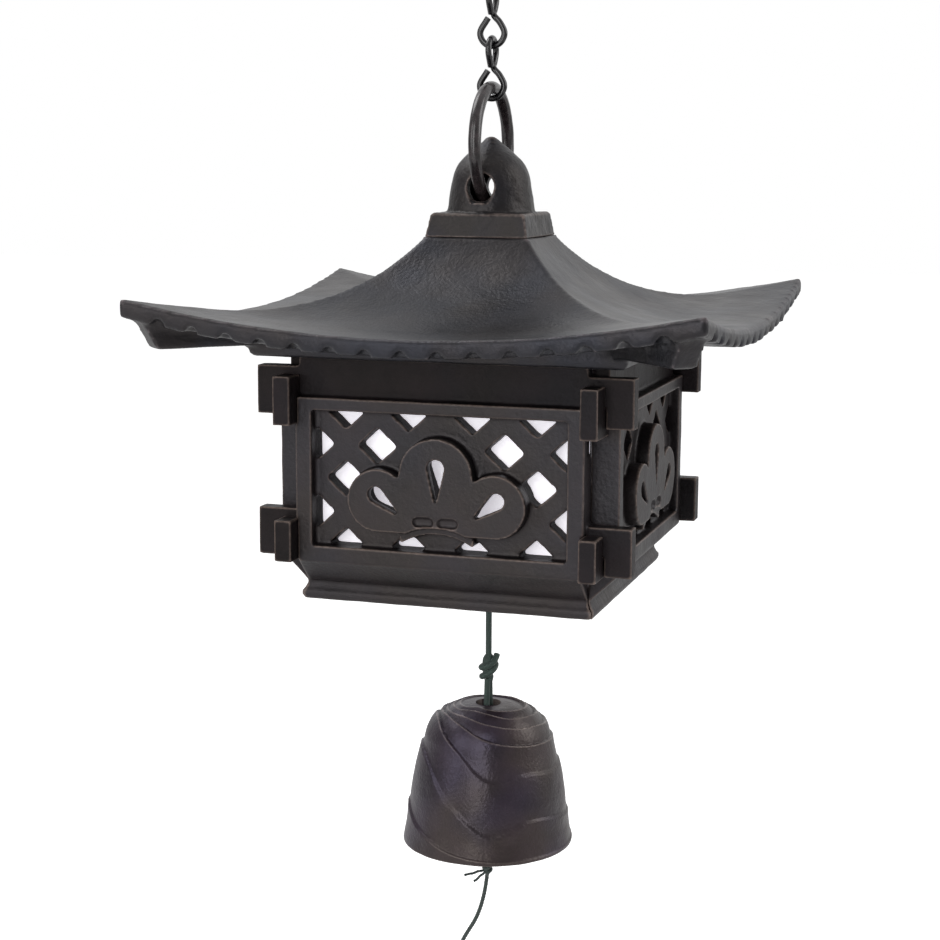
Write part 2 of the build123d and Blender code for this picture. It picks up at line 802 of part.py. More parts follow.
def straight_cord(top, bottom, diameter):
    """A taut cord on the axis."""
    with BuildPart() as made:
        with Locations((0, 0, bottom)):
            Cylinder(diameter / 2, top - bottom, align=(Align.CENTER, Align.CENTER, Align.MIN))
    return made.part


# Bell cord: looped through the eye, knotted, and hanging straight to the knot that the photo shows
eye_wire_level = eye_centre - eye_radius
top_loop_half = eye_wire / 2 + wire_gap + cord_diameter / 2
top_knot_top = eye_wire_level - top_loop_leg
top_knot_bottom = top_knot_top - top_knot_height
keep(cord_loop(top_loop_half, top_knot_top, eye_wire_level, cord_diameter), "cord_top_loop")
top_knot_edge = top_knot_height * knot_edge_share
keep(knot(top_knot_top, top_knot_height, top_knot_diameter, top_knot_edge), "cord_top_knot")
keep(straight_cord(top_knot_bottom, tips - knot_top, cord_diameter), "bell_cord")

# Cord knot over the bell, with one cut tail
with BuildPart() as cord_knot:
    add(knot(tips - knot_top, knot_height, knot_diameter, knot_diameter * knot_edge_share))
    tail_way = Vector(sin(radians(tail_angle)), 0, cos(radians(tail_angle)))
    tail_root = Vector(0, 0, tips - knot_top - knot_diameter / 2)
    with BuildSketch(Plane(origin=tail_root, z_dir=tail_way)):
        Circle(cord_diameter / 2)
    extrude(amount=knot_diameter / 2 + tail_length)
keep(cord_knot.part, "cord_knot")

# Bell loop: doubled cord down through the bell's crown and round the pin
inner_crown = tips - bell_top - bell_wall
pin_level = inner_crown - bell_crown_drop - pin_diameter / 2 - cord_gap
bell_loop_half = pin_diameter / 2 + cord_gap + cord_diameter / 2
keep(cord_loop(bell_loop_half, tips - knot_bottom, pin_level, cord_diameter), "bell_loop")

# Bell pin: short rod under the crown that carries the bell on the loop
with BuildPart() as bell_pin:
    with Locations(Plane((0, 0, pin_level), z_dir=(1, 0, 0))):
        Cylinder(pin_diameter / 2, pin_length)
    chamfer(bell_pin.edges().filter_by(GeomType.CIRCLE), length=cord_gap)
keep(bell_pin.part, "bell_pin")

# Bell: one thin casting, open below
bell_foot = tips - bell_mouth


def bell_section(radius_scale, height_scale):
    """The space under the bell's skin, its section scaled towards the middle of the mouth."""
    level = [bell_foot + bell_height * (1 - share) * height_scale for share in bell_drop_shares]
    across = [bell_mouth_radius * share * radius_scale for share in bell_radius_shares]
    crown = bell_foot + bell_height * height_scale
    shoulder = (bell_crown_radius * radius_scale, crown - bell_crown_drop * height_scale)
    with BuildPart() as made:
        with BuildSketch(Plane.XZ):
            with BuildLine():
                Polyline((0, bell_foot), (0, crown), (bell_hole / 2, crown), shoulder)
                Spline(shoulder, *zip(across, level))
                Line((across[-1], bell_foot), (0, bell_foot))
            make_face()
        revolve(axis=Axis.Z)
    return made.part


with BuildPart() as bell:
    add(bell_section(1, 1))
    add(bell_section(1 - bell_wall / bell_mouth_radius, 1 - bell_wall / bell_height), mode=Mode.SUBTRACT)
    with Locations((0, 0, inner_crown)):
        Cylinder(bell_hole / 2, 4 * bell_wall, mode=Mode.SUBTRACT)
keep(bell.part, "bell")

# Clapper: round iron bob on a thread that is hitched to the bottom of the bell loop
loop_bottom = pin_level - bell_loop_half
hitch_top = loop_bottom - cord_diameter / 2 - wire_gap
hitch_bottom = hitch_top - hitch_height
keep(knot(hitch_top, hitch_height, hitch_diameter, hitch_height * knot_edge_share), "thread_hitch")
keep(straight_cord(hitch_bottom, tips - tie_knot_top, thread_diameter), "clapper_thread")
with BuildPart() as clapper:
    with Locations((0, 0, tips - clapper_bottom)):
        Cylinder(clapper_radius, clapper_height, align=(Align.CENTER, Align.CENTER, Align.MIN))
        fillet(clapper.edges().filter_by(GeomType.CIRCLE), radius=clapper_edge)
        Cylinder(thread_diameter / 2 + cord_gap, 4 * clapper_height, mode=Mode.SUBTRACT)
keep(clapper.part, "clapper")

# Thread knot under the clapper, with two cut whiskers
tie_knot_bottom = tips - tie_knot_top - tie_knot_height
with BuildPart() as thread_knot:
    add(knot(tips - tie_knot_top, tie_knot_height, tie_knot_diameter, tie_knot_height * knot_edge_share))
    knot_middle = Vector(0, 0, tips - tie_knot_top - tie_knot_height / 2)
    for length, angle in ((whisker_length, whisker_angle), (whisker_short_length, whisker_short_angle)):
        way = Vector(-cos(radians(angle)), 0, -sin(radians(angle)))
        with BuildSketch(Plane(origin=knot_middle, z_dir=way)):
            Circle(whisker_diameter / 2)
        extrude(amount=length)
keep(thread_knot.part, "thread_knot")

# Wind thread: soft runs joined by arcs as large as the runs allow
route = [Vector(x, 0, tips - thread_start - drop) for x, drop in thread_route]
runs = [after - before for before, after in zip(route, route[1:])]
radii = []
for before, after in zip(runs, runs[1:]):
    turn_half = radians(before.get_angle(after)) / 2
    radii.append(bend_share * min(before.length, after.length) / tan(turn_half))
with BuildLine() as thread_path:
    FilletPolyline(*route, radius=radii)
wind_thread = tube(thread_path.wire(), thread_diameter)
print("thread radii", [round(radius, 1) for radius in radii])
print("thread length", round(thread_path.wire().length, 2))
thread_section = pi * thread_diameter**2 / 4
print("thread volume share", round(wind_thread.volume / (thread_path.wire().length * thread_section), 4))
keep(wind_thread, "wind_thread")

# Strip knot: the thread's loop through the strip's hole, and the knot over it
strip_knot_top = route[-1].Z - wire_gap
strip_knot_bottom = strip_knot_top - strip_knot_height
strip_top = strip_knot_bottom - strip_neck
strip_hole_level = strip_top - strip_hole_inset
loop_turn = strip_hole_level + strip_hole / 2 - cord_gap - thread_diameter / 2 + strip_loop_radius
with BuildPart() as strip_knot:
    add(knot(strip_knot_top, strip_knot_height, strip_knot_diameter, strip_knot_height * knot_edge_share))
    add(cord_loop(strip_loop_radius, strip_knot_bottom + strip_neck / 2, loop_turn, thread_diameter))
keep(strip_knot.part, "strip_knot")

# Paper strip that catches the wind, with one punched hole
with BuildPart() as paper_strip:
    with BuildSketch(Plane.XZ.offset(-strip_thickness / 2)):
        with Locations((0, strip_top - strip_length / 2)):
            RectangleRounded(strip_width, strip_length, strip_corner)
        with Locations((0, strip_hole_level)):
            Circle(strip_hole / 2, mode=Mode.SUBTRACT)
    extrude(amount=strip_thickness)
keep(paper_strip.part, "paper_strip")
print("corner tips at", round(tips, 3), "bell mouth at", round(bell_foot, 3))
pivots = (top_link_bottom, low_link_bottom, hole_axis, eye_wire_level, loop_bottom)
print("pivots", [round(z, 3) for z in pivots])
print("thread pivot", round(route[0].Z, 3), "strip pivot", round(route[-1].Z, 3))
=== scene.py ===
from math import cos, pi, radians, sin

import bpy
import numpy as np
from mathutils import Matrix, Vector


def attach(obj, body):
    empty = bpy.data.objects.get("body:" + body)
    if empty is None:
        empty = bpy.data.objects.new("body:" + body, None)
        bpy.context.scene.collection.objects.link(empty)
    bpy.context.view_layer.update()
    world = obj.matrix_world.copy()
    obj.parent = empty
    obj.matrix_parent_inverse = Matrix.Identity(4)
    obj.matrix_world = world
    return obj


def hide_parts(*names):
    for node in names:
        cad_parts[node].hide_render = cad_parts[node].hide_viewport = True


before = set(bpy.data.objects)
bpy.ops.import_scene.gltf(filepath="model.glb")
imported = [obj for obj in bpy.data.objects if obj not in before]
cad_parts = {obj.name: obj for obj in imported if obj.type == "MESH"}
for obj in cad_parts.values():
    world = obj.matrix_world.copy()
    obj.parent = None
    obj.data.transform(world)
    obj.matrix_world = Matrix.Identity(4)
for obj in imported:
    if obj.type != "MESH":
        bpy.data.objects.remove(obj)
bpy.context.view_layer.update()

# Chain: two links, each one length of steel wire bent into two open eyes at right angles.
# The wire is dipped in black lacquer after bending, so it is smooth and shiny, and the cut ends
# stay blunt. Each link hangs in the eye of the one above.
mm = 0.001
link_wire = 1.5
link_eye = 2.95
link_eye_middle = 4.0
link_levels = (-6.2, -18.3)
link_end_round = 0.12
control_swell = 1.03  # a NURBS path runs a little inside its control points
drip_size = 3.0


def linear(code):
    """A colour written as sRGB hex, as linear red, green, blue and alpha."""
    parts = [int(code[i:i + 2], 16) / 255 for i in (1, 3, 5)]
    return tuple(c / 12.92 if c <= 0.04045 else ((c + 0.055) / 1.055) ** 2.4 for c in parts) + (1.0,)


def add_node(material, kind, inputs=None, **settings):
    """Adds one node, sets its options, and sets or links its inputs."""
    made = material.node_tree.nodes.new(kind)
    for name, value in settings.items():
        setattr(made, name, value)
    for name, value in (inputs or {}).items():
        if isinstance(value, bpy.types.NodeSocket):
            material.node_tree.links.new(value, made.inputs[name])
        else:
            made.inputs[name].default_value = value
    return made


def new_material(name):
    """An empty node material with its output and Principled shader."""
    material = bpy.data.materials.new(name)
    material.use_nodes = True
    return material, material.node_tree.nodes["Principled BSDF"]


def plain_selection():
    """Leaves edit mode and selects nothing."""
    if bpy.context.object and bpy.context.object.mode != "OBJECT":
        bpy.ops.object.mode_set(mode="OBJECT")
    bpy.ops.object.select_all(action="DESELECT")


def finish_mesh(piece, material, smooth=40):
    """Gives a finished piece its one material and smooth shading."""
    plain_selection()
    piece.select_set(True)
    bpy.context.view_layer.objects.active = piece
    piece.data.materials.clear()
    piece.data.materials.append(material)
    bpy.ops.object.shade_smooth_by_angle(angle=radians(smooth))
    return piece


def apply_modifier(piece, kind, **settings):
    """Adds one modifier, sets it and applies it."""
    plain_selection()
    piece.select_set(True)
    bpy.context.view_layer.objects.active = piece
    modifier = piece.modifiers.new(kind.title(), kind)
    for name, value in settings.items():
        setattr(modifier, name, value)
    bpy.ops.object.modifier_apply(modifier=modifier.name)


def nurbs_path(route, resolution):
    """A NURBS path that has the route's points, in millimetres, as its control points."""
    plain_selection()
    bpy.ops.curve.primitive_nurbs_path_add()
    path = bpy.context.object
    path.data.splines.clear()
    spline = path.data.splines.new("NURBS")
    spline.points.add(len(route) - 1)
    for point, (x, y, z) in zip(spline.points, route):
        point.co = (x * mm, y * mm, z * mm, 1)
    spline.order_u = 3
    spline.use_endpoint_u = True
    spline.resolution_u = resolution
    return path


def weld(gap):
    """Joins the active piece's points that lie closer than the gap and turns its faces outwards."""
    bpy.ops.object.mode_set(mode="EDIT")
    bpy.ops.mesh.select_all(action="SELECT")
    bpy.ops.mesh.remove_doubles(threshold=gap * mm)
    bpy.ops.mesh.normals_make_consistent(inside=False)
    bpy.ops.object.mode_set(mode="OBJECT")


# Lacquered steel wire: a thin black film over drawn wire, glossy, with faint drips that dull it in patches.
black_lacquer, shader = new_material("black_lacquered_wire")
place = add_node(black_lacquer, "ShaderNodeTexCoord").outputs["Object"]
patches = add_node(
    black_lacquer, "ShaderNodeTexNoise", {"Vector": place, "Scale": 1 / (drip_size * mm), "Detail": 4.0}
)
tone = add_node(black_lacquer, "ShaderNodeValToRGB", {"Fac": patches.outputs["Fac"]})
tone.color_ramp.elements[0].color = linear("#0a0a0c")
tone.color_ramp.elements[1].color = linear("#161416")
gloss = add_node(
    black_lacquer, "ShaderNodeMapRange",
    {"Value": patches.outputs["Fac"], "From Min": 0.3, "From Max": 0.7, "To Min": 0.14, "To Max": 0.26},
)
links = black_lacquer.node_tree.links
links.new(tone.outputs["Color"], shader.inputs["Base Color"])
links.new(gloss.outputs["Result"], shader.inputs["Roughness"])

lower_eye = [(-1.0, 0, -0.45), (-1.7, 0, -1.5), (-2.5, 0, -2.6), (-3.0, 0, -3.6)]
for step in range(6):
    turn = radians(195 + 30 * step)
    reach = link_eye * control_swell
    lower_eye.append((reach * cos(turn), 0, -link_eye_middle + reach * sin(turn)))
lower_eye += [(3.0, 0, -3.6), (2.4, 0, -2.4), (1.6, 0, -1.2), (0.7, 0, -0.4)]
link_route = lower_eye + [(0, x, -z) for x, _, z in reversed(lower_eye)]
link = nurbs_path([(x, y, z + link_levels[0]) for x, y, z in link_route], 8)
link.data.bevel_depth = link_wire / 2 * mm
link.data.bevel_resolution = 6
link.data.use_fill_caps = True
bpy.ops.object.convert(target="MESH")
weld(0.005)
apply_modifier(
    link, "BEVEL", width=link_end_round * mm, segments=2, limit_method="ANGLE", angle_limit=radians(60),
)
link.name = "link_top"
low_link = link.copy()
low_link.data = link.data.copy()
low_link.name = "link_low"
bpy.context.collection.objects.link(low_link)
low_link.data.transform(Matrix.Translation((0, 0, (link_levels[1] - link_levels[0]) * mm)))
for piece, node, body in ((link, "chain_link_top", "chain_top"), (low_link, "chain_link_low", "chain_low")):
    finish_mesh(piece, black_lacquer, smooth=50)
    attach(piece, body)
    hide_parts(node)

# Hanging ring: a thick iron wire bent into a ring through the finial's hole, its ends butted together.
# It is blackened rather than lacquered, so it is a little brown and has a soft shine.
ring_wire = 3.0
ring_radius = 13.3
ring_middle = -36.0
ring_joint_gap = 0.25
ring_wave = (4.0, 0.12)  # length and height of the wire's unevenness
scale_size = 1.6

blackened_iron, shader = new_material("blackened_iron_wire")
place = add_node(blackened_iron, "ShaderNodeTexCoord").outputs["Object"]
scale = add_node(
    blackened_iron, "ShaderNodeTexNoise", {"Vector": place, "Scale": 1 / (scale_size * mm), "Detail": 6.0}
)
tone = add_node(blackened_iron, "ShaderNodeValToRGB", {"Fac": scale.outputs["Fac"]})
tone.color_ramp.elements[0].position = 0.35
tone.color_ramp.elements[0].color = linear("#171314")
tone.color_ramp.elements[1].position = 0.7
tone.color_ramp.elements[1].color = linear("#2f2829")
bump = add_node(
    blackened_iron, "ShaderNodeBump",
    {"Height": scale.outputs["Fac"], "Strength": 0.25, "Distance": 0.05 * mm},
)
shader.inputs["Roughness"].default_value = 0.24
links = blackened_iron.node_tree.links
links.new(tone.outputs["Color"], shader.inputs["Base Color"])
links.new(bump.outputs["Normal"], shader.inputs["Normal"])

plain_selection()
bpy.ops.mesh.primitive_circle_add(
    vertices=28, radius=ring_wire / 2 * mm, fill_type="NGON",
    location=(0, 0, (ring_middle - ring_radius) * mm), rotation=(pi / 2, 0, 0),
)
ring = bpy.context.object
ring.name = "ring"
bpy.ops.object.transform_apply(location=True, rotation=True, scale=True)
bpy.ops.object.mode_set(mode="EDIT")
bpy.ops.mesh.select_all(action="SELECT")
bpy.ops.mesh.spin(
    steps=120, angle=2 * pi - ring_joint_gap / ring_radius,
    center=(0, 0, ring_middle * mm), axis=(1, 0, 0),
)
weld(0.005)
unevenness = bpy.data.textures.new("wire_unevenness", "CLOUDS")
unevenness.noise_scale = ring_wave[0] * mm
apply_modifier(ring, "DISPLACE", texture=unevenness, strength=ring_wave[1] * mm, mid_level=0.5)
finish_mesh(ring, blackened_iron, smooth=50)
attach(ring, "ring")
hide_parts("hanging_ring")

# Finial: one casting, a square collar and a hollow pointed dome with a cross hole for the ring.
# Sand-cast iron, burnt and rubbed with black lacquer. The mould leaves soft edges and a pitted skin,
# and rubbing leaves the edges paler, with painted highlight added, strongest on upward-facing edges.
blotch_size = 14.0
tinge_size = 22.0
pit_spread = 2.6  # times the grain of the sand
# specular level where the painted shade is full
shaded_shine = 0.03


def mark_edges(piece):
    """Keeps how sharply each vertex bulges, per millimetre, as the piece's own attribute, for paler edges
    that are partly worn and partly painted highlight, stronger on upward-facing edges.
    """
    mesh = piece.data
    spots = np.array([vertex.co for vertex in mesh.vertices]) / mm
    ways = np.array([vertex.normal for vertex in mesh.vertices])
    first, second = np.array([edge.vertices for edge in mesh.edges]).T
    count = len(spots)
    along = spots[second] - spots[first]
    square = (along * along).sum(axis=1)
    bulge = np.bincount(second, (along * ways[second]).sum(axis=1) / square, count)
    bulge -= np.bincount(first, (along * ways[first]).sum(axis=1) / square, count)
    ties = np.bincount(first, minlength=count) + np.bincount(second, minlength=count)
    bulge /= ties
    for _ in range(3):
        around = np.bincount(first, bulge[second], count) + np.bincount(second, bulge[first], count)
        bulge = 0.5 * bulge + 0.5 * around / ties
    top_light_share = 0.6 + 0.8 * ways[:, 2].clip(0, 1)  # painted highlight: upward-facing edges lighter, where the light from above falls
    layer = mesh.attributes.new("bulge", "FLOAT", "POINT")
    layer.data.foreach_set("value", bulge * top_light_share)


def cast_copy(node, name, voxel, rounds, triangles, swell):
    """Copies a casting's solid and rounds its edges and roughens its skin as a sand mould leaves them."""
    plain_selection()
    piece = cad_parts[node].copy()
    piece.data = piece.data.copy()
    for key in list(piece.keys()):
        del piece[key]
    piece.parent = None
    piece.name = name
    bpy.context.collection.objects.link(piece)
    piece.select_set(True)
    bpy.context.view_layer.objects.active = piece
    bpy.ops.object.mode_set(mode="EDIT")
    bpy.ops.mesh.select_all(action="SELECT")
    bpy.ops.mesh.remove_doubles(threshold=0.001 * mm)
    bpy.ops.object.mode_set(mode="OBJECT")
    apply_modifier(piece, "REMESH", mode="VOXEL", voxel_size=voxel * mm)
    apply_modifier(piece, "SMOOTH", factor=0.5, iterations=rounds)
    texture = bpy.data.textures.new(name + "_skin", "CLOUDS")
    texture.noise_scale = swell[0] * mm
    texture.noise_depth = 3
    apply_modifier(piece, "DISPLACE", texture=texture, strength=swell[1] * mm, mid_level=0.5)
    mark_edges(piece)
    faces = 2 * len(piece.data.polygons)
    if faces > triangles:
        apply_modifier(piece, "DECIMATE", ratio=triangles / faces)
    return piece


def cast_skin(name, dark, pale, worn_and_highlight, wear_and_highlight_range, grain, sheen, tints, shine=0.34):
    """Lacquered cast iron: blotchy near-black, pitted, with paler edges that are partly rubbed wear and
    partly painted highlight, and painted shade that dulls the reflection in recesses.
    """
    material, shader = new_material(name)
    place = add_node(material, "ShaderNodeTexCoord").outputs["Object"]
    blotches = add_node(
        material, "ShaderNodeTexNoise",
        {"Vector": place, "Scale": 1 / (blotch_size * mm), "Detail": 5.0, "Roughness": 0.6},
    )
    sand = add_node(
        material, "ShaderNodeTexNoise", {"Vector": place, "Scale": 1 / (grain * mm), "Detail": 3.0}
    )
    pits = add_node(
        material, "ShaderNodeTexVoronoi",
        {"Vector": place, "Scale": 1 / (pit_spread * grain * mm), "Randomness": 1.0},
    )
    tone = add_node(material, "ShaderNodeValToRGB", {"Fac": blotches.outputs["Fac"]})
    tone.color_ramp.elements[0].position = 0.35
    tone.color_ramp.elements[0].color = linear(dark)
    tone.color_ramp.elements[1].position = 0.68
    tone.color_ramp.elements[1].color = linear(pale)
    edge = add_node(
        material, "ShaderNodeMapRange",
        {
            "Value": add_node(material, "ShaderNodeAttribute", attribute_name="bulge").outputs["Fac"],
            "From Min": wear_and_highlight_range[0], "From Max": wear_and_highlight_range[1], "To Min": 0.0, "To Max": 0.9,
        },
    )
    # Paler edges: rubbed wear plus painted highlight, weighted to upward-facing edges in mark_edges.
    rubbed_and_lit = add_node(
        material, "ShaderNodeMath",
        {0: edge.outputs["Result"], 1: sand.outputs["Fac"]}, operation="MULTIPLY", use_clamp=True,
    )
    colour = add_node(
        material, "ShaderNodeMix",
        {"Factor": rubbed_and_lit.outputs["Value"], "A": tone.outputs["Color"], "B": linear(worn_and_highlight)}, data_type="RGBA",
    )
    gloss = add_node(
        material, "ShaderNodeMapRange",
        {
            "Value": blotches.outputs["Fac"], "From Min": 0.3, "From Max": 0.7,
            "To Min": sheen[0], "To Max": sheen[1],
        },
    )
    fine = add_node(
        material, "ShaderNodeBump", {"Height": sand.outputs["Fac"], "Strength": 0.75, "Distance": 0.15 * mm}
    )
    rough = add_node(
        material, "ShaderNodeBump",
        {
            "Height": pits.outputs["Distance"], "Strength": 0.25, "Distance": 0.12 * mm,
            "Normal": fine.outputs["Normal"],
        },
    )
    drift = add_node(
        material, "ShaderNodeTexNoise", {"Vector": place, "Scale": 1 / (tinge_size * mm), "Detail": 2.0}
    )
    cast = add_node(
        material, "ShaderNodeMapRange",
        {"Value": drift.outputs["Fac"], "From Min": 0.4, "From Max": 0.6, "To Min": 0.0, "To Max": 1.0},
    )
    tinge = add_node(
        material, "ShaderNodeMix",
        {"Factor": cast.outputs["Result"], "A": linear(tints[0]), "B": linear(tints[1])}, data_type="RGBA",
    )
    # Painted shade: the reflection is dimmed where the painted_shade attribute marks recesses, the apron,
    # the eaves and the tabs.
    shade_dimming = add_node(
        material, "ShaderNodeMapRange",
        {
            "Value": add_node(material, "ShaderNodeAttribute", attribute_name="painted_shade").outputs["Fac"],
            "From Min": 0.0, "From Max": 1.0, "To Min": shine, "To Max": shaded_shine,
        },
    )
    links = material.node_tree.links
    links.new(tinge.outputs["Result"], shader.inputs["Specular Tint"])
    links.new(shade_dimming.outputs["Result"], shader.inputs["Specular IOR Level"])
    links.new(colour.outputs["Result"], shader.inputs["Base Color"])
    links.new(gloss.outputs["Result"], shader.inputs["Roughness"])
    links.new(rough.outputs["Normal"], shader.inputs["Normal"])
    return material


cast_iron = cast_skin(
    "lacquered_cast_iron", dark="#0f0e10", pale="#1d1a1b", worn_and_highlight="#7a6c66", wear_and_highlight_range=(0.1, 0.4), grain=0.7,
    sheen=(0.36, 0.5), tints=("#fff6f1", "#eeedff"), shine=0.27,
)
finial = cast_copy("finial", "finial_casting", voxel=0.3, rounds=3, triangles=120000, swell=(3.5, 0.36))
finish_mesh(finial, cast_iron, smooth=60)
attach(finial, "lantern")
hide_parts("finial")

# Roof: one thin casting with four concave slopes, eaves that lift to the corners and notches under them.
# Below it are four hip rafters and the square flange that the panels bear on. The same lacquered
# cast iron, smoother on the slopes.
roof_iron = cast_skin(
    "lacquered_roof_iron", dark="#0e0e10", pale="#1b1b1e", worn_and_highlight="#71686a", wear_and_highlight_range=(0.16, 0.45), grain=0.8,
    sheen=(0.34, 0.44), tints=("#fff3f2", "#ebedff"),
)
roof = cast_copy("roof", "roof_casting", voxel=0.7, rounds=2, triangles=197000, swell=(9, 0.3))
finish_mesh(roof, roof_iron, smooth=60)
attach(roof, "lantern")
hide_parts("roof")

# Panels: four lattice castings with a raised frame and a blossom, locked at the corners by half-lapped tabs.
# Cast iron again, with a coarser skin and paler edges on the raised work, partly rubbed wear and partly
# painted highlight; painted shade dulls the reflection in the lattice recesses, under the eaves, on the
# apron and on the corner tabs.
panel_iron = cast_skin(
    "lacquered_panel_iron", dark="#110f10", pale="#1f1a1b", worn_and_highlight="#7d6e66", wear_and_highlight_range=(0.12, 0.45), grain=0.9,
    sheen=(0.38, 0.52), tints=("#fff5f1", "#f5f2fb"),
)
window_half = 33.0  # of the lattice inside the frame
frame_half = 34.2
# Painted shade: the reflection is dimmed in the lattice recesses, on the apron, under the eaves and on the
# corner tabs, where shade falls.
shade_start = 1.5  # below the panel's highest face
shade_run = 2.5
shade_levels = (-138.0, -136.5, -131.5, -130.6, -93.0, -92.6)  # from the foot moulding to the eaves
shade_shares = (0.0, 0.25, 0.25, 0.0, 0.0, 0.72)
tab_shade = 0.72


def mark_painted_shade(piece, out):
    """Keeps how much painted shade each vertex gets: in the lattice recesses, on the apron, under the eaves
    and on the tabs.
    """
    spots = np.array([vertex.co for vertex in piece.data.vertices]) / mm
    ways = np.array([vertex.normal for vertex in piece.data.vertices]) @ np.array(out)
    aside = np.abs(spots @ np.array((-out[1], out[0], 0)))
    level = spots @ np.array(out)
    depth = ((level.max() - level - shade_start) / shade_run).clip(0, 1)
    recess_shade = (aside < window_half) * depth * (1.0 - ways * 1.2).clip(0, 1)
    band = np.interp(spots[:, 2], shade_levels, shade_shares)
    tabs = (aside > frame_half) * (spots[:, 2] > shade_levels[2]) * tab_shade
    layer = piece.data.attributes.new("painted_shade", "FLOAT", "POINT")
    layer.data.foreach_set("value", np.maximum(np.maximum(recess_shade, band), tabs))


panel_outward = {"front": (0, -1, 0), "right": (1, 0, 0), "back": (0, 1, 0), "left": (-1, 0, 0)}
for place_name, outward in panel_outward.items():
    panel = cast_copy(
        f"panel_{place_name}", f"lattice_{place_name}",
        voxel=0.36, rounds=4, triangles=197000, swell=(6, 0.2),
    )
    mark_painted_shade(panel, outward)
    finish_mesh(panel, panel_iron, smooth=60)
    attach(panel, "lantern")
    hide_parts(f"panel_{place_name}")

# Liners: thin white paper pasted behind the lattices, so that the openings show pale.
# Handmade paper, matt and a little fibrous. A painted glow, an emission, stands in for the light from inside
# the lantern that comes through it.
fibre_size = 1.2


def paper_sheet(name, bright, fibre_tone, painted_glow):
    """Pale handmade paper: matt, with faint fibres, and a painted glow, an emission standing in for light
    that comes through it from behind.
    """
    material, shader = new_material(name)
    place = add_node(material, "ShaderNodeTexCoord").outputs["Object"]
    fibres = add_node(
        material, "ShaderNodeTexNoise",
        {"Vector": place, "Scale": 1 / (fibre_size * mm), "Detail": 6.0, "Distortion": 1.5},
    )
    tone = add_node(material, "ShaderNodeValToRGB", {"Fac": fibres.outputs["Fac"]})
    tone.color_ramp.elements[0].position = 0.3
    tone.color_ramp.elements[0].color = linear(fibre_tone)
    tone.color_ramp.elements[1].position = 0.6
    tone.color_ramp.elements[1].color = linear(bright)
    bump = add_node(
        material, "ShaderNodeBump", {"Height": fibres.outputs["Fac"], "Strength": 0.2, "Distance": 0.05 * mm}
    )
    shader.inputs["Roughness"].default_value = 0.85
    shader.inputs["Specular IOR Level"].default_value = 0.2
    # Painted glow: an emission standing in for light that comes through the paper from inside the lantern.
    shader.inputs["Emission Color"].default_value = linear("#f6f2fb")
    shader.inputs["Emission Strength"].default_value = painted_glow
    links = material.node_tree.links
    links.new(tone.outputs["Color"], shader.inputs["Base Color"])
    links.new(bump.outputs["Normal"], shader.inputs["Normal"])
    return material


# The liners get a painted glow of 0.55; the strip paper further down gets none.
liner_paper = paper_sheet("white_liner_paper", "#fdfdfd", "#f3f1f5", 0.55)
for place_name in ("front", "right", "back", "left"):
    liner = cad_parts[f"liner_{place_name}"]
    liner.data.materials.clear()
    liner.data.materials.append(liner_paper)

# Inner hardware: stud, tie bar, washer and eye nut that clamp the lantern together, and the bell's pin.
# Plain turned and pressed mild steel, zinc plated: grey, satin, with fine turning lines.
turning_pitch = 0.3
zinc_steel, shader = new_material("zinc_plated_steel")
place = add_node(zinc_steel, "ShaderNodeTexCoord").outputs["Object"]
turning = add_node(zinc_steel, "ShaderNodeMapping", {"Vector": place, "Scale": (0.1, 0.1, 1.0)})
lines = add_node(
    zinc_steel, "ShaderNodeTexNoise",
    {"Vector": turning.outputs["Vector"], "Scale": 1 / (turning_pitch * mm), "Detail": 3.0},
)
tone = add_node(zinc_steel, "ShaderNodeValToRGB", {"Fac": lines.outputs["Fac"]})
tone.color_ramp.elements[0].color = linear("#8c8e92")
tone.color_ramp.elements[1].color = linear("#b9bbbf")
shader.inputs["Metallic"].default_value = 1.0
shader.inputs["Roughness"].default_value = 0.38
links = zinc_steel.node_tree.links
links.new(tone.outputs["Color"], shader.inputs["Base Color"])
for name in ("clamp_stud", "tie_bar", "clamp_washer", "eye_nut", "bell_pin"):
    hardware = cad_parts[name]
    hardware.data.materials.clear()
    hardware.data.materials.append(zinc_steel)

# Bell cord: dark green braided polyester, 1.45 mm thick, looped on the eye, knotted, and hanging taut.
# A second knot over the bell leaves one cut tail, and the doubled end goes through the crown round the pin.
cord_thickness = 1.45
cord_top = -116.1
cord_foot = -159.7
braid = (8, 2.8, True)  # strands, pitch, braided
cord_sides = 32
rib_foot = 0.9  # of the half thickness, between the strands
rib_height = 0.16
end_girth = 0.45
hair_size = 0.25
view_turn = radians(17.782)


def smooth_line(route):
    """Points along the NURBS path of a route, in metres."""
    guide = nurbs_path(route, 16)
    line = bpy.data.meshes.new_from_object(guide)
    points = [vertex.co.copy() for vertex in line.vertices]
    bpy.data.meshes.remove(line)
    bpy.data.objects.remove(guide)
    return points


